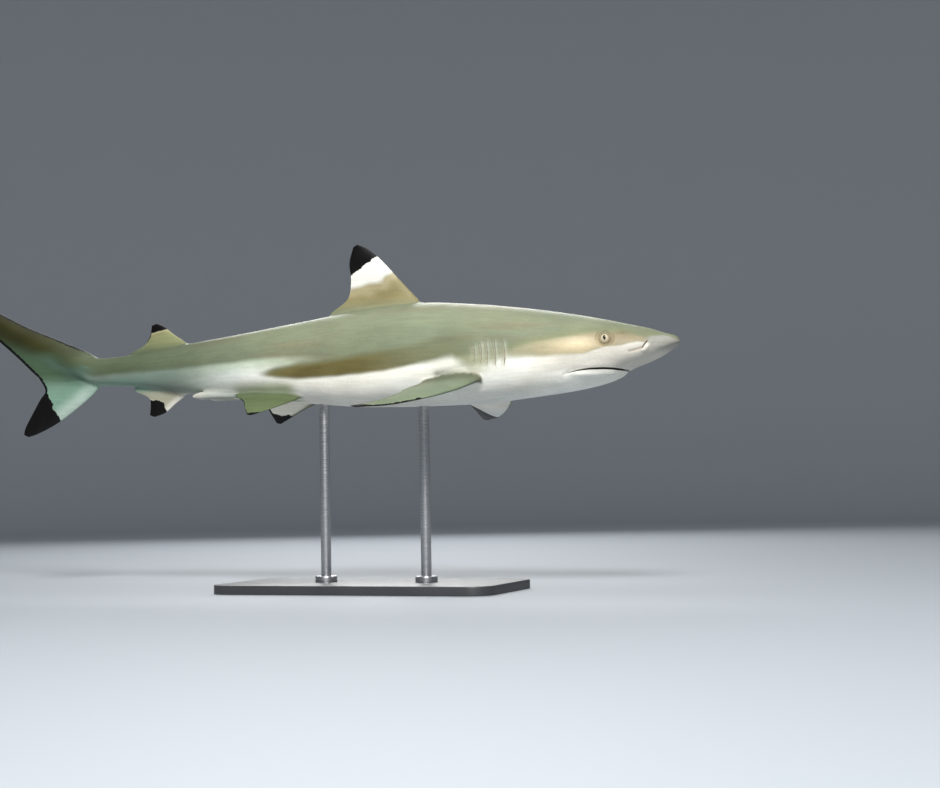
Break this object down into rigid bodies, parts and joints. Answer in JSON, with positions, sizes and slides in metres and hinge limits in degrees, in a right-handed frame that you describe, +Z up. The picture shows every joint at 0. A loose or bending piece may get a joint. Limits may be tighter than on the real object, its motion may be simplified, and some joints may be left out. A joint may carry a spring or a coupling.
{
  "type": "blacktip reef shark model",
  "caption": "Life-size still model of an adult male blacktip reef shark in a level swimming pose, held over a flat base by plain rods.",
  "frame": {"origin": "centre of the underside of the stand's base, with the body's axis 0.36 m above it", "axes": "+X towards the snout, +Y to the animal's left, +Z up"},
  "size_m": [1.2829, 0.5254, 0.5394],
  "materials": {
    "skin": "satin",
    "eye": "gloss",
    "stand_base": "satin",
    "stand_rod": "satin"
  },
  "bodies": {
    "root": {"head": "skin", "shoulder": "skin", "trunk": "skin", "hind_trunk": "skin", "tail": "skin", "lower_jaw": "skin", "first_dorsal_fin": "skin", "second_dorsal_fin": "skin", "anal_fin": "skin", "caudal_fin_upper": "skin", "caudal_fin_lower": "skin", "eye_left": "eye", "eye_right": "eye", "pectoral_fin_left": "skin", "pectoral_fin_right": "skin", "pelvic_fin_left": "skin", "pelvic_fin_right": "skin", "clasper_left": "skin", "clasper_right": "skin", "stand_base": "stand_base", "stand_rod_front": "stand_rod", "stand_rod_rear": "stand_rod", "stand_collar_front": "stand_rod", "stand_collar_rear": "stand_rod"}
  },
  "joints": []
}
